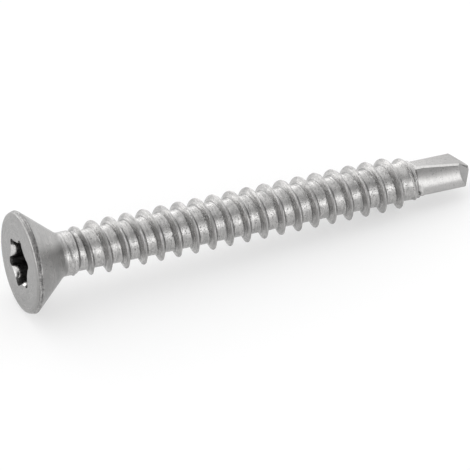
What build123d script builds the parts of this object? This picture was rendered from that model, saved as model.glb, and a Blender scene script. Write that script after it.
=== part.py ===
"""Self drilling screw: flat countersunk head, six-lobe drive, two-flute drill point.

The screw is modelled upright, head face at Z = 0 and point towards +Z, and is then laid
down on its head rim and its last full thread crest, as it comes to rest on a table.
"""

import os
from math import atan, atan2, ceil, cos, degrees, floor, radians, sin, sqrt, tan

from build123d import *

# Whole screw, over the head face and the drill tip
overall_length = 36.8

# Head: the rim is a thin conical band between the face and a sharp back edge
head_diameter = 7.8
rim_height = 0.42
rim_draft = 0.16
head_cone_angle = 80

# Six-lobe drive recess with a conical floor
drive_lobes = 6
drive_diameter = 3.95
drive_lobe_depth = 0.55
drive_lobe_radius = 0.32
drive_depth = 2.0
drive_floor_angle = 140

# Neck collar under the head
neck_diameter = 3.34
neck_length = 1.02
neck_taper = 0.2

# Right-hand thread on the core, with a sharp crest
core_diameter = 2.99
thread_diameter = 4.09
thread_pitch = 1.4
thread_lead_in = 0.312
run_in_length = 2.86
run_out_length = 1.65
run_out_diameter = 3.26
flank_angle = 66
turns_per_sweep = 4
root_overlap = 0.1
trim_clearance = 0.03

# Drill point: two flutes, two lands and a margin edge on each land at the drill diameter
point_length = 4.95
drill_diameter = 3.34
point_angle = 90
drill_turn = 50.4
land_thickness = 2.8
land_radius = 2.5
margin_angle = 55
shoulder_length = 0.45
shoulder_angle = 60
shoulder_overlap = 0.2
margin_sink = 0.05
flute_ramp = 0.95
flute_corner_radius = 0.1
ridge_height_back = 0.9
ridge_height_front = 0.32
web_radius_shoulder = 1.05
web_radius_back = 0.42
web_radius_front = 0.2
web_angle_shoulder = -62
web_angle_back = -45
web_angle_front = 20

# Worked out from the sizes above
head_radius = head_diameter / 2
face_radius = head_radius - rim_draft
neck_radius = neck_diameter / 2
core_radius = core_diameter / 2
base_radius = core_radius - root_overlap
thread_radius = thread_diameter / 2
trim_radius = thread_radius + trim_clearance
drill_radius = drill_diameter / 2
half_flank = radians(flank_angle / 2)
cone_end = rim_height + (head_radius - neck_radius) / tan(radians(head_cone_angle / 2))
neck_end = cone_end + neck_length
thread_start = cone_end + thread_lead_in
core_end = overall_length - point_length
full_thread_end = core_end - run_out_length


def polar(radius, angle):
    """A sketch point at a radius and an angle in degrees."""
    return (radius * cos(radians(angle)), radius * sin(radians(angle)))


# Turned blank: head, collar, thread core and the shoulder of the drill point
with BuildPart() as shank:
    shoulder_tip = core_end + shoulder_length
    with BuildSketch(Plane.XZ):
        with BuildLine():
            Polyline(
                (0, 0),
                (face_radius, 0),
                (head_radius, rim_height),
                (neck_radius, cone_end),
                (neck_radius, neck_end),
                (core_radius, neck_end + neck_taper),
                (core_radius, core_end),
                (core_radius - shoulder_length / tan(radians(shoulder_angle)), shoulder_tip),
                (0, shoulder_tip),
                close=True,
            )
        make_face()
    revolve(axis=Axis.Z)

# Thread ridge: a few turns are swept along a helix and repeated up the core
with BuildPart() as ridge:
    ridge_height = thread_pitch * turns_per_sweep
    base_width = 2 * (thread_radius - base_radius) * tan(half_flank)
    with BuildLine() as helix:
        Helix(thread_pitch, ridge_height, core_radius, center=(0, 0, thread_start))
    with BuildSketch(Plane.XZ):
        with BuildLine():
            Polyline(
                (base_radius, thread_start - base_width / 2),
                (thread_radius, thread_start),
                (base_radius, thread_start + base_width / 2),
                close=True,
            )
        make_face()
    sweep(path=helix.line, is_frenet=True)

with BuildPart() as thread:
    sweeps = ceil((core_end - base_width - thread_start) / ridge_height)
    with Locations(*[(0, 0, ridge_height * step) for step in range(sweeps)]):
        add(ridge.part)

    # The ridge rises out of the collar along one cone, fades along another and ends blunt
    with BuildSketch(Plane.XZ):
        with BuildLine():
            Polyline(
                (0, cone_end),
                (neck_radius - trim_clearance, cone_end),
                (trim_radius, thread_start + run_in_length),
                (trim_radius, full_thread_end),
                (run_out_diameter / 2, core_end),
                (0, core_end),
                close=True,
            )
        make_face()
    revolve(axis=Axis.Z, mode=Mode.INTERSECT)


def point_section(level, margin_radius, ridge_height, web_radius, web_angle):
    """Cross-section of the drill point: two lands and two flutes, alike by a half turn."""
    margin = polar(margin_radius, margin_angle)
    land_centre = land_thickness / 2 - land_radius
    ridge = (land_centre + sqrt(land_radius**2 - ridge_height**2), -ridge_height)
    web = polar(web_radius, web_angle)
    plane = Plane(origin=(0, 0, level), x_dir=(*polar(1, drill_turn), 0))
    with BuildSketch(plane) as section:
        with BuildLine():
            for side in (1, -1):
                land = ThreePointArc(
                    (side * margin[0], side * margin[1]),
                    (side * land_thickness / 2, 0),
                    (side * ridge[0], side * ridge[1]),
                )
                Polyline(
                    land @ 1,
                    (side * web[0], side * web[1]),
                    (-side * margin[0], -side * margin[1]),
                )
        make_face()
        for side in (1, -1):
            web_corners = section.vertices().sort_by_distance((side * web[0], side * web[1]))
            fillet(web_corners[0], flute_corner_radius)
    return section.sketch


# Drill point: lofted through the shoulder, the full flutes and the tip, then cut to a roof
with BuildPart() as drill:
    add(
        [
            point_section(
                core_end - shoulder_overlap,
                core_radius - margin_sink,
                ridge_height_back,
                web_radius_shoulder,
                web_angle_shoulder,
            ),
            point_section(
                core_end - shoulder_overlap + flute_ramp,
                drill_radius,
                ridge_height_back,
                web_radius_back,
                web_angle_back,
            ),
            point_section(
                overall_length,
                drill_radius,
                ridge_height_front,
                web_radius_front,
                web_angle_front,
            ),
        ]
    )
    loft(ruled=True)
    across = (*polar(1, drill_turn), 0)
    chisel_line = (*polar(1, drill_turn - 90), 0)
    eaves = overall_length - drill_diameter / tan(radians(point_angle / 2))
    with BuildSketch(Plane(origin=(0, 0, 0), x_dir=across, z_dir=chisel_line)):
        with BuildLine():
            Polyline(
                (0, overall_length),
                (drill_diameter, eaves),
                (drill_diameter, 0),
                (-drill_diameter, 0),
                (-drill_diameter, eaves),
                close=True,
            )
        make_face()
    extrude(amount=drill_diameter, both=True, mode=Mode.INTERSECT)

# Recess outline: lobe arcs and the arcs between them meet at tangent points
half_step = 180 / drive_lobes
step_cos = cos(radians(half_step))
step_sin = sin(radians(half_step))
lobe_centre = drive_diameter / 2 - drive_lobe_radius
inner_radius = drive_diameter / 2 - drive_lobe_depth
between_radius = (
    lobe_centre**2
    + inner_radius**2
    - drive_lobe_radius**2
    - 2 * lobe_centre * inner_radius * step_cos
) / (2 * (drive_lobe_radius + lobe_centre * step_cos - inner_radius))
between_centre = inner_radius + between_radius
lobe_swing = degrees(atan2(between_centre * step_sin, between_centre * step_cos - lobe_centre))
between_swing = lobe_swing - half_step

with BuildPart() as upright:
    add([shank.part, thread.part, drill.part])
    with BuildSketch():
        with BuildLine():
            for lobe in range(drive_lobes):
                angle = 2 * half_step * lobe
                CenterArc(
                    polar(lobe_centre, angle),
                    drive_lobe_radius,
                    angle - lobe_swing,
                    2 * lobe_swing,
                )
                CenterArc(
                    polar(between_centre, angle + half_step),
                    between_radius,
                    angle + half_step + 180 - between_swing,
                    2 * between_swing,
                )
        make_face()
    extrude(amount=drive_depth, mode=Mode.SUBTRACT)
    floor_tip = drive_depth + inner_radius / tan(radians(drive_floor_angle / 2))
    with BuildSketch(Plane.XZ):
        with BuildLine():
            Polyline((0, drive_depth), (inner_radius, drive_depth), (0, floor_tip), close=True)
        make_face()
    revolve(axis=Axis.Z, mode=Mode.SUBTRACT)

# Lying plane: the rim and the last full crest that faces down both touch the table
turns_to_last = floor((full_thread_end - thread_start) / thread_pitch - 0.5) + 0.5
last_crest = thread_start + thread_pitch * turns_to_last
tilt = atan((head_radius - thread_radius) / (last_crest - rim_height))
lying = Plane(
    origin=(
        (face_radius * sin(tilt) - overall_length * cos(tilt)) / 2,
        0,
        head_radius * cos(tilt) + rim_height * sin(tilt),
    ),
    x_dir=(sin(tilt), 0, cos(tilt)),
    z_dir=(cos(tilt), 0, -sin(tilt)),
)

with BuildPart(lying) as screw:
    add(upright.part)

screw.part.label = "screw"
os.makedirs("parts", exist_ok=True)
export_step(screw.part, "parts/screw.step")
print(f"screw lies {degrees(tilt):.2f} degrees nose down, {screw.part.volume:.1f} mm3")
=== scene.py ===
"""Looks for the self drilling screw: the detailed steel mesh, its finishes, the light,
the floor and the camera."""

from math import atan, atan2, cos, degrees, exp, pi, radians, sin, sqrt, tan

import bmesh
import bpy
from mathutils import Matrix, Vector, noise


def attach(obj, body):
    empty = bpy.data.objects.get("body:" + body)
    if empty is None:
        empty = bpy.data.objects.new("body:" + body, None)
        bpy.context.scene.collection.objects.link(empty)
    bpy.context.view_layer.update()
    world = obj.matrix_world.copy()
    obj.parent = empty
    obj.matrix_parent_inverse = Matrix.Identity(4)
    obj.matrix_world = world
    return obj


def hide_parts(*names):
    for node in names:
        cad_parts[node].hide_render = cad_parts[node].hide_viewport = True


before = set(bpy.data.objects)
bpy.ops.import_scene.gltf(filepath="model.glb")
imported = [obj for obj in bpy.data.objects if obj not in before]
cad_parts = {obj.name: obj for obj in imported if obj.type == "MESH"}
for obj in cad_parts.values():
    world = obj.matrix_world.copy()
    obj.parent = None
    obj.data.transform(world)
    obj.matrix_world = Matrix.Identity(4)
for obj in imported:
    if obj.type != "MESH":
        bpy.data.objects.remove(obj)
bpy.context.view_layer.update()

MM = 0.001
MICROMETRE = 0.001 * MM

# Camera, found by fitting the screw's outline to the photograph, in degrees and millimetres
camera_azimuth = 23.66
camera_elevation = 38.1
camera_distance = 337.25
camera_lens = 349.8
sensor_width = 36
near_clip = 10
# The point on the axis that the fit is anchored to, and where the camera sees it
anchor_level = 6.036
anchor_in_view = (-10.341, -0.895)

# Sizes of the screw in millimetres, the same as in the part's source
overall_length = 36.8
head_radius = 3.9
face_radius = 3.74
rim_height = 0.42
head_half_angle = 40
neck_radius = 1.67
neck_length = 1.02
neck_taper = 0.2
core_radius = 1.495
thread_radius = 2.045
thread_pitch = 1.4
thread_start = 3.39
point_length = 4.95
rim_slope = (head_radius - face_radius) / rim_height
cone_slope = tan(radians(head_half_angle))
cone_end = rim_height + (head_radius - neck_radius) / cone_slope
neck_end = cone_end + neck_length
core_end = overall_length - point_length

# The screw lies on its head rim and its last full thread crest, and its point leans down
turns_to_last_crest = 18.5
last_crest = thread_start + turns_to_last_crest * thread_pitch
tilt = atan((head_radius - thread_radius) / (last_crest - rim_height))
along_screw = Vector((cos(tilt), 0, -sin(tilt)))
above_screw = Vector((sin(tilt), 0, cos(tilt)))

# Soft forms of the head and neck: the front edge on the face and on the rim, the back edge, the
# fillet at the collar and how far the ends of the neck's taper are softened
face_rounding = 0.32
rim_rounding = 0.12
back_rounding = 0.07
collar_fillet = 0.14
taper_softening = 0.06

# Thread ridge: a rounded crest, flanks at 56 degrees to each other and fillets in the roots
crest_rounding = 0.07
ridge_half_angle = 28
root_fillet = 0.1

# The ridge rises out of the collar along one cone and fades along another: where each cone
# begins to cut the full ridge, how deep it goes from there, how far above the crest it begins
# and how softly the crest bends into it
run_in_end = 6.25
run_in_drop = 0.435
run_out_start = 30.2
run_out_drop = 0.445
cone_clearance = 0.03
cone_softening = 0.02

# Turns over which the ridge appears and ends, and how deep it is sunk before and after them
ridge_start = (-0.02, 0.06)
last_turn = 20.28
end_fade = 0.08
sunk_depth = 0.6

# Unevenness of the rolled steel: heights, and waves in a millimetre. Its noise is read on a
# cylinder of noise_radius
noise_radius = 1.6
core_unevenness = 0.008
core_waves = 1.3
crest_unevenness = 0.006
crest_waves = 2.2
crest_wander = 0.02
wander_waves = 0.35

# Marks where the thread ends: centre as an angle and a level, height, width in degrees and
# length along the axis
thread_end_marks = (
    ((113, 31.64), 0.26, 14, 0.15),  # nub that the thread ends in
    ((115, 32.1), 0.22, 18, 0.25),  # its foot
    ((102, 31.97), -0.32, 6, 0.09),  # pit beside the foot
    ((-30, 32.02), -0.14, 16, 0.1),  # notch at the top of the shoulder
)
# Turned groove behind the lands
turned_groove_level = 31.93
turned_groove_depth = 0.05
turned_groove_width = 0.05

# Six-lobe recess: arcs of the lobes and between them, as the part's source works them out
lobe_step = 60
lobe_radius = 0.32
lobe_centre = 1.655
lobe_reach = 9.95
between_radius = 0.887
between_centre = 2.312
inner_radius = 1.425
recess_depth = 2.0
floor_half_angle = 70
floor_slope = 1 / tan(radians(floor_half_angle))

# Bevel at the recess mouth: its width between the lobes and at them, the angles from a lobe
# over which it widens, its depth, and the width from which it takes the lighter steel of a
# painted highlight
mouth_bevel = 0.2
lobe_bevel = 0.03
bevel_widens = (6, 20)
bevel_depth = 0.45
highlighted_bevel = 0.1

# Drill point, with the same sizes as in the part's source
drill_radius = 1.67
drill_turn = 50.4
land_half_thickness = 1.4
land_radius = 2.5
margin_angle = 55
margin_sink = 0.05
shoulder_overlap = 0.2
shoulder_length = 0.45
flute_ramp = 0.95
ridge_height_back = 0.9
ridge_height_front = 0.32
web_radius_shoulder = 1.05
web_radius_back = 0.42
web_radius_front = 0.2
web_angle_shoulder = -62
web_angle_back = -45
web_angle_front = 20
ramp_start = core_end - shoulder_overlap
ramp_end = ramp_start + flute_ramp

# The core's end: how steeply it slopes on the shoulder, how much more steeply after it, down
# into the flutes, and the fillet where it meets the drill point
shoulder_slope = 0.577
shoulder_end_slope = 3
shoulder_fillet = 0.08

# Small forms of the drill point: the bevel round the relief faces, the bevelled strip between
# land and rake face with a groove in it, and the web's fillet. The strip's shape is given by
# shares of its width, and by shares of the groove's depth
edge_bevel = 0.03
land_bevel = 0.27
rake_bevel = 0.1
groove_depth = 0.04
strip_shape = ((0.08, 1), (0.18, 0), (0.5, 0), (0.9, 0), (1, 0))
web_fillet = 0.1

# Mesh: columns run round the screw, and the first one follows a margin of the drill point
columns = 144
half_columns = columns // 2
first_angle = drill_turn + margin_angle

# The thread's mesh is a ribbon that starts two turns early and is cut level at the collar ring
# and at the core's end. Rows that come nearer to a cut than cut_reach are drawn onto it
collar_ring = 3.2
cut_reach = 0.02
first_turn = -2
mesh_turns = 25
# Distances of its rows from the crest, on both sides
crest_offsets = (0.05, 0.1, 0.13, 0.2, 0.27, 0.345, 0.385, 0.43, 0.49, 0.56, 0.63)

# Rings of the head. Those of the cone lie closer at the collar, where the fillet is, and stop
# short of the softened back edge
cone_rings = 29
cone_crowding = 1.2
cone_stop = rim_height + 0.06
rim_levels = (0.45, 0.43, 0.41, 0.39, 0.36, 0.31, 0.25, 0.19, 0.14)
edge_steps = 6
face_shares = (0.15, 0.35, 0.55, 0.75, 0.9, 1)
bevel_steps = 6
# Levels of the recess wall with how far it has come in there, and radii of the floor
wall_rings = ((0.8, 0), (1.1, 0), (1.4, 0), (1.7, 0), (1.94, 0.01), (2, 0.07))
floor_radii = (1.2, 0.9, 0.6, 0.3)

# Steps of half the drill point's outline: land, rake face, web fillet, and the flute before
# and after the line of the chisel edge
land_steps = 34
rake_steps = 8
fillet_steps = 4
near_flute_steps = 4
far_flute_steps = 17
# The column in which the flute crosses that line, and the columns of the bevelled strip
chisel_column = land_steps + len(strip_shape) + rake_steps + fillet_steps + near_flute_steps
strip_columns = range(land_steps + 2, land_steps + len(strip_shape))
ramp_steps = 18
side_steps = 26
relief_steps = 5
# Rounds in which the end of a side is found
end_rounds = 30

# Cleaning of the mesh: how close points are merged, the shortest edge that is kept, and the
# angle from which an edge is sharp
merge_distance = 0.0005
shortest_edge = 0.0002
sharp_angle = 32

FACE, RIM, CONE, RECESS, THREAD, DRILL, EDGE = range(7)

# Steel: shares of streaks, broad and fine mottling in its tone, the tones between which it
# goes from dark to light and from rough to smooth, and the noise between which a pit forms
streak_share = 0.44
broad_share = 0.28
fine_share = 0.28
colour_tones = (0.36, 0.64)
gloss_tones = (0.35, 0.65)
pit_noise = (0.6, 0.7)
# How much of a pit's colour shows, the greys of pits and of the painted shade line in the
# thread's root corners as shares of the dark grey, and the warmth of the dark and the light grey
pit_cover = 0.55
pit_grey = 0.35
corner_shade_grey = 0.3
dark_warmth = 0.01
light_warmth = 0.014
# Wear of the thread and painted shade: radii over which the crests grow dull and how much
# rougher they are, radii over which the painted shade line in the root corners comes and goes,
# and levels over which it ends
crest_dulls = (1.82, 1.98)
crest_roughness = 0.2
corner_shade_comes = (1.5, 1.54)
corner_shade_goes = (1.56, 1.66)
corner_shade_ends = (30.0, 30.8)

# Floor: half its side in metres, its own grey, and the white that is added where it is seen
floor_half_size = 0.8
floor_grey = 0.48
floor_lift = 0.49

# Light: angle over the near horizon in degrees, and brightness of the strip there
light_strips = (
    (0, 2.2),
    (14, 2.3),
    (22, 2.1),
    (32, 1.3),
    (45, 0.8),
    (60, 0.58),
    (78, 0.78),
    (95, 1.12),
    (120, 1.2),
    (142, 1.5),
    (160, 2.2),
    (180, 2.3),
)
brightest = 2.5

# Shade on the near side, towards the head end: its brightness, where it starts and stops along
# the screw, as a cosine to the axis, and where it stops on the way to the far horizon
shade = 0.03
shade_starts = (-0.85, -0.6)
shade_stops = (-0.3, -0.05)
shade_rises_to = (0.34, 0.5)
# Where the light at the head end stops along the screw, and the pale horizon over the floor
head_light_stops = (-0.88, -0.7)
horizon_stops = (0.07, 0.13)


def polar(radius, angle):
    """A point in the cross-section at a radius and an angle in degrees."""
    return Vector((radius * cos(radians(angle)), radius * sin(radians(angle))))


def smooth_max(a, b, width):
    """The larger of two heights, with a rounded corner where they cross."""
    near = max(width - abs(a - b), 0) / width
    return max(a, b) + near * near * width / 4


def smooth_step(start, end, value):
    """Rises from 0 at start to 1 at end without a kink."""
    t = min(max((value - start) / (end - start), 0), 1)
    return t * t * (3 - 2 * t)


def bend(start, corner, end, t):
    """Follows a curve that rounds off the corner between start and end."""
    return start * (1 - t) ** 2 + corner * 2 * t * (1 - t) + end * t * t


def column_angle(column):
    return first_angle + column * 360 / columns


def placement():
    """Matrix from the upright screw to the screw as it lies on the floor."""
    axes = (above_screw, along_screw.cross(above_screw), along_screw)
    matrix = Matrix(axes).transposed().to_4x4()
    start = (face_radius * sin(tilt) - overall_length * cos(tilt)) / 2
    height = head_radius * cos(tilt) + rim_height * sin(tilt)
    matrix.translation = Vector((start, 0, height)) * MM
    return matrix


class Skin:
    """Collects points, faces and the region of each face, for the upright screw.

    Sizes come in as millimetres, and points are kept in metres.
    """

    def __init__(self):
        self.points = []
        self.faces = []
        self.regions = []

    def point(self, radius, angle, level):
        x, y = polar(radius, angle)
        self.points.append((x * MM, y * MM, level * MM))
        return len(self.points) - 1

    def ring(self, radius, level):
        """A closed loop at one level. Its radius is a number or a function of the angle."""
        loop = []
        for column in range(columns):
            angle = column_angle(column)
            loop.append(self.point(radius(angle) if callable(radius) else radius, angle, level))
        return loop

    def face(self, corners, region):
        """A face without its repeated corners, or nothing where fewer than three are left."""
        kept = [c for i, c in enumerate(corners) if c != corners[i - 1]]
        if len(set(kept)) > 2:
            self.faces.append(kept)
            self.regions.append(region)

    def band(self, loops, region):
        """Joins closed loops, each to the next. Columns may have a region each, in a list."""
        regions = region if isinstance(region, list) else [region] * columns
        for loop, other in zip(loops, loops[1:]):
            for i in range(columns):
                j = (i + 1) % columns
                self.face([loop[i], loop[j], other[j], other[i]], regions[i])

    def cap(self, loop, tip, region):
        """Closes a loop with triangles that meet in one point."""
        for i in range(columns):
            self.face([loop[i], loop[(i + 1) % columns], tip], region)


def unevenness(angle, level, waves):
    """Soft waviness of the rolled surface, from -1 to 1, with so many waves in a millimetre."""
    x, y = polar(noise_radius, angle)
    return noise.noise(Vector((x * waves, y * waves, level * waves)))


def blank_radius(level):
    """Collar and core under the thread, without the head."""
    taper_end = neck_end + neck_taper + taper_softening
    taper = smooth_step(neck_end - taper_softening, taper_end, level)
    return neck_radius + (core_radius - neck_radius) * taper


def ridge_sink(level):
    """How far the crest lies below its full height where the thread fades in and out."""
    before = (run_in_end - level) / (run_in_end - cone_end)
    after = (level - run_out_start) / (core_end - run_out_start)
    rise = before * run_in_drop - cone_clearance
    fall = after * run_out_drop - cone_clearance
    return smooth_max(max(rise, fall), 0, cone_softening)


def ridge_profile(offset):
    """How far the ridge has dropped from its crest at a distance along the axis."""
    tangent = crest_rounding * cos(radians(ridge_half_angle))
    across = min(abs(offset), tangent)
    drop = crest_rounding - sqrt(crest_rounding**2 - across**2)
    return drop + (abs(offset) - across) / tan(radians(ridge_half_angle))


def mark(angle, level, centre, height, width, length):
    """A soft bump, or a pit where height is negative, at an angle and level."""
    turn = (angle - centre[0] + 180) % 360 - 180
    return height * exp(-((turn / width) ** 2) - ((level - centre[1]) / length) ** 2)


def end_marks(angle, level):
    """The marks where the thread ends, and the turned groove behind the lands."""
    marks = sum(mark(angle, level, *sizes) for sizes in thread_end_marks)
    from_groove = (level - turned_groove_level) / turned_groove_width
    return marks - turned_groove_depth * exp(-(from_groove**2))


def thread_surface(turn, offset):
    """Radius beside the crest after a number of turns from the start."""
    angle = turn * 360
    crest = thread_start + thread_pitch * turn
    level = crest + offset
    base = blank_radius(level) - core_unevenness
    base -= core_unevenness * unevenness(angle, level, core_waves)
    there = smooth_step(*ridge_start, turn)
    there *= 1 - smooth_step(last_turn, last_turn + end_fade, turn)
    wander = crest_wander * unevenness(angle, crest, wander_waves)
    crest_radius = thread_radius - ridge_sink(crest) - crest_unevenness
    crest_radius -= crest_unevenness * unevenness(angle, crest, crest_waves)
    crest_radius -= (1 - there) * sunk_depth
    ridge = crest_radius - ridge_profile(offset - wander)
    return smooth_max(base, ridge, root_fillet) + end_marks(angle, level)


def thread_skin(skin):
    """A ribbon of rows that follow the crest, cut off level at the collar and the point."""
    offsets = sorted([0, thread_pitch / 2] + [s * o for o in crest_offsets for s in (1, -1)])
    bottom, top, grid = [], [], []
    for column in range(columns):
        angle = column_angle(column)
        bottom.append(skin.point(blank_radius(collar_ring), angle, collar_ring))
        top.append(skin.point(core_radius + end_marks(angle, core_end), angle, core_end))
        line = []
        for turn in range(first_turn, first_turn + mesh_turns):
            along = turn + angle / 360
            for offset in offsets:
                level = thread_start + thread_pitch * along + offset
                if level < collar_ring + cut_reach:
                    line.append(bottom[-1])
                elif level > core_end - cut_reach:
                    line.append(top[-1])
                else:
                    line.append(skin.point(thread_surface(along, offset), angle, level))
        grid.append(line)
    # The last column meets the first one a turn further up
    grid.append(grid[0][len(offsets) :] + [top[0]] * len(offsets))
    for line, beside in zip(grid, grid[1:]):
        for i in range(len(line) - 1):
            skin.face([line[i], beside[i], beside[i + 1], line[i + 1]], THREAD)
    return bottom, top


def from_lobe(angle):
    """Angle from the middle of the nearest lobe."""
    return abs((angle + lobe_step / 2) % lobe_step - lobe_step / 2)


def lobed_radius(angle):
    """Outline of the six-lobe recess."""
    turn = from_lobe(angle)
    if turn < lobe_reach:
        across = lobe_centre * sin(radians(turn))
        return lobe_centre * cos(radians(turn)) + sqrt(lobe_radius**2 - across**2)
    from_between = radians(lobe_step / 2 - turn)
    across = between_centre * sin(from_between)
    return between_centre * cos(from_between) - sqrt(between_radius**2 - across**2)


def bevel_width(angle):
    """The bevel at the recess mouth, which is wide only between the lobes."""
    widening = smooth_step(*bevel_widens, from_lobe(angle))
    return lobe_bevel + (mouth_bevel - lobe_bevel) * widening


def mouth_radius(angle, share=1):
    """Outline of the recess with a share of its bevel's width."""
    return lobed_radius(angle) + bevel_width(angle) * share


def cone_skin(skin, collar):
    """Cone of the head, from the collar to just before the rim."""
    loops = [collar]
    for step in range(1, cone_rings + 1):
        level = collar_ring + (cone_stop - collar_ring) * (step / cone_rings) ** cone_crowding
        radius = head_radius - (level - rim_height) * cone_slope
        loops.append(skin.ring(smooth_max(radius, neck_radius, collar_fillet), level))
    skin.band(loops, CONE)
    return loops[-1]


def rim_skin(skin, cone_loop):
    """Rim band, with its softened back edge."""
    loops = [cone_loop]
    for level in rim_levels:
        rim = head_radius - (rim_height - level) * rim_slope
        cone = head_radius - (level - rim_height) * cone_slope
        loops.append(skin.ring(-smooth_max(-rim, -cone, back_rounding), level))
    skin.band(loops, RIM)
    return loops[-1]


def face_skin(skin, rim_loop):
    """Rounded front edge and flat face of the head, up to the recess."""
    loops = [rim_loop]
    edge_start = face_radius + rim_rounding * rim_slope
    edge_end = face_radius - face_rounding
    for step in range(edge_steps + 1):
        t = step / edge_steps
        radius = bend(edge_start, face_radius, edge_end, t)
        loops.append(skin.ring(radius, bend(rim_rounding, 0, 0, t)))
    for share in face_shares:
        loops.append(skin.ring(lambda a: edge_end + (mouth_radius(a) - edge_end) * share, 0))
    skin.band(loops, FACE)
    return loops[-1]


def recess_skin(skin, face_loop):
    """Recess: a bevelled mouth with a painted highlight between the lobes, and walls and a conical
    floor in darker steel that paints shade.
    """
    mouth = [face_loop]
    for step in range(1, bevel_steps + 1):
        share = (1 - step / bevel_steps) ** 2
        level = bevel_depth * step / bevel_steps
        mouth.append(skin.ring(lambda a: mouth_radius(a, share), level))
    widths = [bevel_width(column_angle(column + 0.5)) for column in range(columns)]
    # Where the bevel is wide it takes the lighter steel, a painted highlight; the rest takes the
    # recess's darker steel, painted shade
    skin.band(mouth, [EDGE if width > highlighted_bevel else RECESS for width in widths])

    walls = [mouth[-1]]
    for level, inset in wall_rings:
        walls.append(skin.ring(lambda a: lobed_radius(a) - inset, level))
    for radius in floor_radii:
        walls.append(skin.ring(radius, recess_depth + (inner_radius - radius) * floor_slope))
    skin.band(walls, RECESS)
    tip = skin.point(0, 0, recess_depth + inner_radius * floor_slope)
    skin.cap(walls[-1], tip, RECESS)


def three_point_arc(start, middle, end, steps, stop_short):
    """Points on an arc through three points that ends a little before the last one."""
    ax, ay = middle - start
    bx, by = end - start
    a2, b2, double = ax * ax + ay * ay, bx * bx + by * by, 2 * (ax * by - ay * bx)
    centre = start + Vector((by * a2 - ay * b2, ax * b2 - bx * a2)) / double
    radius = (start - centre).length
    first = atan2(*(start - centre).yx)
    last = atan2(*(end - centre).yx) + stop_short / radius
    turns = [first + (last - first) * i / steps for i in range(steps + 1)]
    return [centre + Vector((cos(turn), sin(turn))) * radius for turn in turns]


def straight(start, end, steps):
    """Points from start to end, without the first."""
    return [start.lerp(end, (i + 1) / steps) for i in range(steps)]


def half_outline(margin_radius, ridge_height, web_radius, web_angle):
    """Half of the drill point's section: land, bevelled strip, rake face, web and flute."""
    margin = polar(margin_radius, margin_angle)
    land_centre = land_half_thickness - land_radius
    ridge = Vector((land_centre + sqrt(land_radius**2 - ridge_height**2), -ridge_height))
    web = polar(web_radius, web_angle)
    land_middle = Vector((land_half_thickness, 0))
    points = three_point_arc(margin, land_middle, ridge, land_steps, land_bevel)

    # The strip cuts off the corner between land and rake face, and has a fine groove at the land
    to_ridge = (ridge - web).normalized()
    front = ridge - to_ridge * rake_bevel
    start = points[-1]
    along = front - start
    inward = Vector((-along.y, along.x)).normalized()
    inward *= -groove_depth if inward.dot(ridge - front) > 0 else groove_depth
    points += [start + along * share + inward * depth for share, depth in strip_shape]

    to_margin = (-margin - web).normalized()
    reach = web_fillet / tan(to_ridge.angle(to_margin) / 2)
    points += straight(points[-1], web + to_ridge * reach, rake_steps)
    before, after = points[-1], web + to_margin * reach
    points += [bend(before, web, after, (i + 1) / fillet_steps) for i in range(fillet_steps)]

    # In the section at the tip, this share of the way lies on the line of the chisel edge
    front_web = polar(web_radius_front, web_angle_front)
    front_margin = polar(drill_radius, margin_angle)
    crossing = web.lerp(-margin, front_web.x / (front_web.x + front_margin.x))
    points += straight(points[-1], crossing, near_flute_steps)
    points += straight(points[-1], -margin, far_flute_steps)
    return points[:-1]


def full_outline(*sizes):
    """The whole section, whose second half is the first after a half turn."""
    outline = half_outline(*sizes)
    return outline + [-point for point in outline]


def shoulder_radius(level):
    """The core's end, which slopes down into the flutes."""
    past_core = level - core_end
    cone = core_radius - past_core * shoulder_slope
    return min(cone, cone - (past_core - shoulder_length) * shoulder_end_slope)


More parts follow.
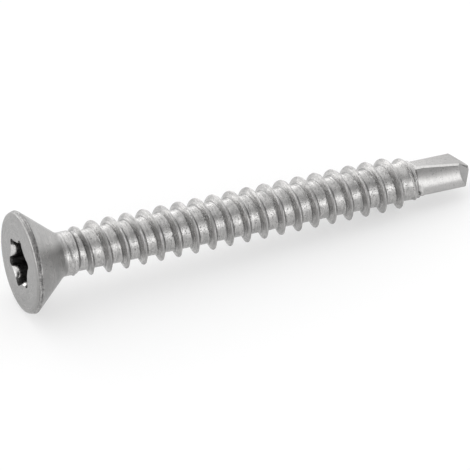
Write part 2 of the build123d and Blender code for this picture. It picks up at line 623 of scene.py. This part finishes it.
class DrillPoint:
    """Drill point from the core's end to the chisel edge."""

    def __init__(self, skin):
        self.skin = skin
        self.back = full_outline(
            core_radius - margin_sink, ridge_height_back, web_radius_shoulder, web_angle_shoulder
        )
        self.middle = full_outline(
            drill_radius, ridge_height_back, web_radius_back, web_angle_back
        )
        self.front = full_outline(
            drill_radius, ridge_height_front, web_radius_front, web_angle_front
        )
        self.ends = [self.end_level(column) for column in range(columns)]

    def side_point(self, column, level):
        """Where a column lies in the section at a level."""
        if level < ramp_end:
            t = (level - ramp_start) / (ramp_end - ramp_start)
            return self.back[column].lerp(self.middle[column], t)
        t = (level - ramp_end) / (overall_length - ramp_end)
        return self.middle[column].lerp(self.front[column], t)

    def end_level(self, column):
        """Where a column meets its relief face, which slopes at 45 degrees from the chisel edge.

        The section changes with the level, so the level is corrected in rounds.
        """
        level = overall_length
        for _ in range(end_rounds):
            level = overall_length - abs(self.side_point(column, level).x)
        return level

    def place(self, flat, level):
        """Adds a point of a section, no lower than the shoulder, which it meets in a fillet."""
        radius, angle = flat.length, degrees(atan2(flat.y, flat.x)) + drill_turn
        if level < ramp_end:
            radius = smooth_max(radius, shoulder_radius(level), shoulder_fillet)
            radius += end_marks(angle, level)
        return self.skin.point(radius, angle, level)

    def side_loops(self):
        """Loops up the ramp of the flutes and on to the ends of the sides."""
        loops = []
        for step in range(1, ramp_steps + 1):
            level = core_end + (ramp_end - core_end) * step / ramp_steps
            loops.append([self.place(self.side_point(c, level), level) for c in range(columns)])
        for step in range(1, side_steps + 1):
            loop = []
            for column, end in enumerate(self.ends):
                level = ramp_end + (end - edge_bevel - ramp_end) * step / side_steps
                loop.append(self.place(self.side_point(column, level), level))
            loops.append(loop)
        return loops

    def chisel_points(self):
        """A point on the chisel edge for each column. Each relief face has half the columns."""
        reach = abs(self.side_point(chisel_column, overall_length).y)
        points = []
        for column in range(columns):
            along = (column - chisel_column - half_columns) % columns
            side = 1 if along <= half_columns else -1
            share = along / half_columns if side > 0 else along / half_columns - 1
            points.append(Vector((0, side * reach * (1 - 2 * share))))
        return points

    def relief_loops(self):
        """Loops on the relief faces, from their bevelled edges to the chisel edge."""
        peaks = self.chisel_points()
        loops = []
        for step in range(relief_steps + 1):
            loop = []
            for column, peak in enumerate(peaks):
                flat = self.side_point(column, self.ends[column])
                reach = (flat - peak).length
                bevel = min(edge_bevel / reach, 1) if reach > 0 else 1
                spot = flat.lerp(peak, bevel + (1 - bevel) * step / relief_steps)
                loop.append(self.place(spot, overall_length - abs(spot.x)))
            loops.append(loop)
        return loops

    def build(self, core_loop):
        """Joins the drill point to the loop at the core's end."""
        # The outlines run clockwise, and the thread's columns the other way round
        start = [core_loop[-column % columns] for column in range(columns)]
        sides = self.side_loops()
        reliefs = self.relief_loops()
        in_half = [column % half_columns for column in range(columns)]
        # The bevelled strip takes the lighter steel, a painted highlight
        strips = [EDGE if column in strip_columns else DRILL for column in in_half]
        self.skin.band([start] + sides + reliefs[:1], strips)
        # The relief faces take the cone's darker steel, painted shade
        self.skin.band(reliefs, CONE)


def clean(mesh):
    """Merges doubled points, faces the surface outwards and marks the sharp edges."""
    form = bmesh.new()
    form.from_mesh(mesh)
    bmesh.ops.remove_doubles(form, verts=form.verts, dist=merge_distance * MM)
    bmesh.ops.dissolve_degenerate(form, edges=form.edges, dist=shortest_edge * MM)
    loose = [vertex for vertex in form.verts if not vertex.link_faces]
    bmesh.ops.delete(form, geom=loose, context="VERTS")
    bmesh.ops.recalc_face_normals(form, faces=form.faces)
    for edge in form.edges:
        edge.smooth = edge.calc_face_angle(0) < radians(sharp_angle)
    form.to_mesh(mesh)
    form.free()


def add_object(name, mesh):
    thing = bpy.data.objects.new(name, mesh)
    bpy.context.scene.collection.objects.link(thing)
    return thing


def make_screw():
    """The whole screw as one closed mesh, in the place where it lies."""
    skin = Skin()
    collar, core_loop = thread_skin(skin)
    recess_skin(skin, face_skin(skin, rim_skin(skin, cone_skin(skin, collar))))
    DrillPoint(skin).build(core_loop)
    mesh = bpy.data.meshes.new("screw_steel")
    mesh.from_pydata(skin.points, [], skin.faces)
    mesh.transform(placement())
    mesh.polygons.foreach_set("material_index", skin.regions)
    mesh.polygons.foreach_set("use_smooth", [True] * len(skin.faces))
    clean(mesh)
    return add_object("screw_steel", mesh)


def grey(value, warm=0.0):
    """A grey with a share of its value more red and less blue."""
    return (value * (1 + warm), value, value * (1 - warm), 1)


class Nodes:
    """A small helper that adds shader nodes and links or sets their inputs."""

    def __init__(self, owner):
        owner.use_nodes = True
        self.tree = owner.node_tree
        self.tree.nodes.clear()

    def add(self, kind, inputs=None, **settings):
        """Adds a node. Its inputs are named or numbered, and are values or other outputs."""
        node = self.tree.nodes.new("ShaderNode" + kind)
        for name, value in settings.items():
            setattr(node, name, value)
        for name, value in (inputs or {}).items():
            if isinstance(value, bpy.types.NodeSocket):
                self.tree.links.new(value, node.inputs[name])
            else:
                node.inputs[name].default_value = value
        return node

    def math(self, operation, a, b=0.0):
        return self.add("Math", {0: a, 1: b}, operation=operation).outputs[0]

    def product(self, a, b):
        return self.math("MULTIPLY", a, b)

    def total(self, first, *others):
        for other in others:
            first = self.math("ADD", first, other)
        return first

    def vector(self, **parts):
        return self.add("CombineXYZ", parts).outputs[0]

    def dot(self, vector, axis):
        inputs = {0: vector, 1: axis}
        return self.add("VectorMath", inputs, operation="DOT_PRODUCT").outputs["Value"]

    def noise(self, vector, scale, detail=3.0, roughness=0.6):
        inputs = {"Vector": vector, "Scale": scale, "Detail": detail, "Roughness": roughness}
        return self.add("TexNoise", inputs).outputs[0]

    def remap(self, value, low, high, to_low=0.0, to_high=1.0):
        """A smooth step from to_low, where the value is low, to to_high, where it is high."""
        inputs = {0: value, 1: low, 2: high, 3: to_low, 4: to_high}
        return self.add("MapRange", inputs, interpolation_type="SMOOTHSTEP").outputs[0]

    def blend(self, factor, a, b, kind="MIX"):
        """Mixes two colours."""
        inputs = {0: factor, 6: a, 7: b}
        return self.add("Mix", inputs, data_type="RGBA", blend_type=kind).outputs[2]


def upright_position(nodes):
    """Position on the upright screw in millimetres, for a screw that lies."""
    location, turn, _ = placement().decompose()
    inputs = {
        "Vector": nodes.add("TexCoord").outputs["Object"],
        "Location": location,
        "Rotation": turn.to_euler(),
        "Scale": (MM, MM, MM),
    }
    return nodes.add("Mapping", inputs, vector_type="TEXTURE").outputs[0]


def streak_pattern(nodes, x, y, level, radius, in_turn=1.2, in_millimetre=7.5):
    """Noise drawn out round the axis, with its features in a radian and in a millimetre."""
    stretched = nodes.vector(
        X=nodes.product(nodes.math("ARCTAN2", y, x), in_turn),
        Y=nodes.product(level, in_millimetre),
        Z=nodes.product(radius, in_millimetre),
    )
    return nodes.noise(stretched, scale=1.0)


def crest_wear_and_corner_shade(nodes, radius, level, wear_and_shade):
    """Masks of the crests dulled by wear and of the painted shade line in the root corners, up to
    the run-out.
    """
    crest = nodes.product(nodes.remap(radius, *crest_dulls), wear_and_shade)
    inside = nodes.remap(radius, *corner_shade_comes)
    outside = nodes.remap(radius, *corner_shade_goes, 1.0, 0.0)
    below = nodes.remap(level, *corner_shade_ends, wear_and_shade, 0.0)
    return crest, nodes.product(nodes.product(inside, outside), below)


def steel(name, dark, light, smooth, rough, mottle, streak, turned=0.0, wear_and_shade=0.0):
    """Stainless steel: colour, gloss and relief vary by soft mottling, streaks and pits.

    dark and light are the ends of its grey, smooth and rough of its roughness, and mottle,
    streak and turned are the heights of the relief in thousandths of a millimetre. The last
    argument is how much duller the thread's crests are from wear, and how dark the painted
    shade line in its root corners is.
    """
    material = bpy.data.materials.new(name)
    nodes = Nodes(material)
    position = upright_position(nodes)
    x, y, level = nodes.add("SeparateXYZ", {0: position}).outputs
    flat = nodes.vector(X=x, Y=y)
    radius = nodes.add("VectorMath", {0: flat}, operation="LENGTH").outputs["Value"]

    broad = nodes.noise(position, scale=1.5, detail=4.0)
    fine = nodes.noise(position, scale=7.0, detail=5.0, roughness=0.75)
    streaks = streak_pattern(nodes, x, y, level, radius)
    pits = nodes.remap(nodes.noise(position, scale=10.0, detail=2.0), *pit_noise)
    rings = nodes.noise(nodes.vector(X=radius), scale=9.0, detail=2.0)
    crest, corner = crest_wear_and_corner_shade(nodes, radius, level, wear_and_shade)

    tone = nodes.total(
        nodes.product(streaks, streak_share),
        nodes.product(broad, broad_share),
        nodes.product(fine, fine_share),
    )
    lightness = nodes.remap(tone, *colour_tones)
    colour = nodes.blend(lightness, grey(dark, dark_warmth), grey(light, light_warmth))
    colour = nodes.blend(nodes.product(pits, pit_cover), colour, grey(dark * pit_grey))
    # Painted shade: a dark line in the thread's root corners, where the ridges shade the core
    colour = nodes.blend(corner, colour, grey(dark * corner_shade_grey))
    roughness = nodes.remap(tone, *gloss_tones, rough, smooth)
    roughness = nodes.total(roughness, nodes.product(crest, crest_roughness))

    height = nodes.total(
        nodes.product(nodes.total(broad, fine), mottle),
        nodes.product(streaks, streak),
        nodes.product(rings, turned),
    )
    height = nodes.math("SUBTRACT", height, nodes.product(pits, mottle))
    relief = nodes.add("Bump", {"Height": height, "Distance": MICROMETRE, "Strength": 1.0})

    surface = {
        "Base Color": colour,
        "Metallic": 1.0,
        "Roughness": roughness,
        "Normal": relief.outputs[0],
    }
    shader = nodes.add("BsdfPrincipled", surface)
    nodes.add("OutputMaterial", {"Surface": shader.outputs[0]})
    return material


def finish_steel(screw):
    """One finish for each region, in the order FACE, RIM, CONE, RECESS, THREAD, DRILL, EDGE."""
    finishes = (
        steel("face_steel", 0.28, 0.35, 0.24, 0.34, 5, 2, turned=6),
        # The rim's steel goes to a much darker grey than the rest: a painted dark reflection on
        # its mottled band
        steel("rim_steel_painted_reflection", 0.08, 0.46, 0.14, 0.24, 45, 3),
        # The cone's steel is a darker copy of the steel: painted shade
        steel("cone_steel_painted_shade", 0.26, 0.34, 0.26, 0.34, 6, 6),
        # The recess's steel is very dark: painted shade inside the recess
        steel("recess_steel_painted_shade", 0.1, 0.19, 0.26, 0.38, 10, 3),
        # The thread's crests are duller from wear, and its root corners get a line of painted
        # shade
        steel("thread_steel", 0.33, 0.54, 0.22, 0.34, 16, 18, wear_and_shade=0.5),
        steel("drill_steel", 0.39, 0.43, 0.21, 0.25, 1.5, 1),
        # The edge steel is lighter: a painted highlight on the mouth's bevel and on the drill
        # point's strip
        steel("edge_steel_painted_highlight", 0.58, 0.66, 0.2, 0.28, 2, 2),
    )
    for finish in finishes:
        screw.data.materials.append(finish)


def make_floor():
    """Plain pale floor that is seen as white and keeps the screw's soft shadow."""
    size = floor_half_size
    corners = [(-size, -size, 0), (size, -size, 0), (size, size, 0), (-size, size, 0)]
    mesh = bpy.data.meshes.new("floor")
    mesh.from_pydata(corners, [], [(0, 1, 2, 3)])
    floor = add_object("floor", mesh)
    material = bpy.data.materials.new("floor")
    nodes = Nodes(material)
    rays = nodes.add("LightPath").outputs
    seen = nodes.total(rays["Is Camera Ray"], rays["Is Glossy Ray"], rays["Is Transmission Ray"])
    lift = nodes.product(nodes.math("MINIMUM", seen, 1.0), floor_lift)
    glow = nodes.add("Emission", {"Color": grey(1), "Strength": lift})
    paint = nodes.add("BsdfDiffuse", {"Color": grey(floor_grey)})
    both = nodes.add("AddShader", {0: paint.outputs[0], 1: glow.outputs[0]})
    nodes.add("OutputMaterial", {"Surface": both.outputs[0]})
    mesh.materials.append(material)


def strip_colour(nodes, share):
    """Colour of the light strips at a share of the way from the near to the far horizon."""
    ramp = nodes.add("ValToRGB", {0: share})
    stops = ramp.color_ramp.elements
    while len(stops) < len(light_strips):
        stops.new(0.5)
    for stop, (angle, value) in zip(stops, light_strips):
        stop.position = angle / 180
        stop.color = grey(value / brightest)
    return ramp.outputs[0]


def light_studio():
    """Soft studio: long strips of light and shade that run along the screw, and a pale horizon."""
    world = bpy.data.worlds.new("studio")
    nodes = Nodes(world)
    direction = nodes.add("TexCoord").outputs["Generated"]
    near = nodes.dot(direction, (0, -1, 0))
    above = nodes.dot(direction, above_screw)
    along = nodes.dot(direction, along_screw)
    turn = nodes.math("ARCTAN2", above, near)
    share = nodes.add("MapRange", {0: turn, 1: 0.0, 2: pi}).outputs[0]
    colour = strip_colour(nodes, share)

    # The near side is shaded towards the head end, where the camera stands in the photograph
    headward = nodes.product(
        nodes.remap(along, *shade_stops, 1.0, 0.0), nodes.remap(along, *shade_starts)
    )
    shaded = nodes.product(headward, nodes.remap(share, *shade_rises_to, 1.0, 0.0))
    colour = nodes.blend(shaded, colour, grey(shade / brightest))

    # The head end looks into a soft light
    end_light = nodes.remap(along, *head_light_stops, 1.0, 0.0)
    colour = nodes.blend(end_light, colour, grey(1))

    # Near the horizon nothing is darker than the floor's white
    rise = nodes.add("SeparateXYZ", {0: direction}).outputs[2]
    pale = nodes.blend(1.0, colour, grey(1 / brightest), "LIGHTEN")
    colour = nodes.blend(nodes.remap(rise, *horizon_stops), pale, colour)
    sky = nodes.add("Background", {"Color": colour, "Strength": brightest})
    nodes.add("OutputWorld", {"Surface": sky.outputs[0]})
    bpy.context.scene.world = world


def make_camera():
    """Camera at the photograph's angle, distance and framing."""
    a, e = radians(camera_azimuth), radians(camera_elevation)
    right = Vector((cos(a), -sin(a), 0))
    ahead = Vector((sin(a), cos(a), 0))
    up = Vector((0, 0, 1))
    view_up = ahead * sin(e) + up * cos(e)
    forward = ahead * cos(e) - up * sin(e)
    anchor = placement() @ Vector((0, 0, anchor_level * MM))
    shift = right * anchor_in_view[0] + view_up * anchor_in_view[1] + forward * camera_distance
    data = bpy.data.cameras.new("camera")
    data.lens = camera_lens
    data.sensor_width = sensor_width
    data.clip_start = near_clip * MM
    camera = add_object("camera", data)
    matrix = Matrix((right, view_up, -forward)).transposed().to_4x4()
    matrix.translation = anchor - shift * MM
    camera.matrix_world = matrix
    bpy.context.scene.camera = camera


screw = make_screw()
finish_steel(screw)
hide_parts("screw")
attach(screw, "root")
make_floor()
light_studio()
make_camera()
bpy.context.scene.view_settings.view_transform = "Standard"
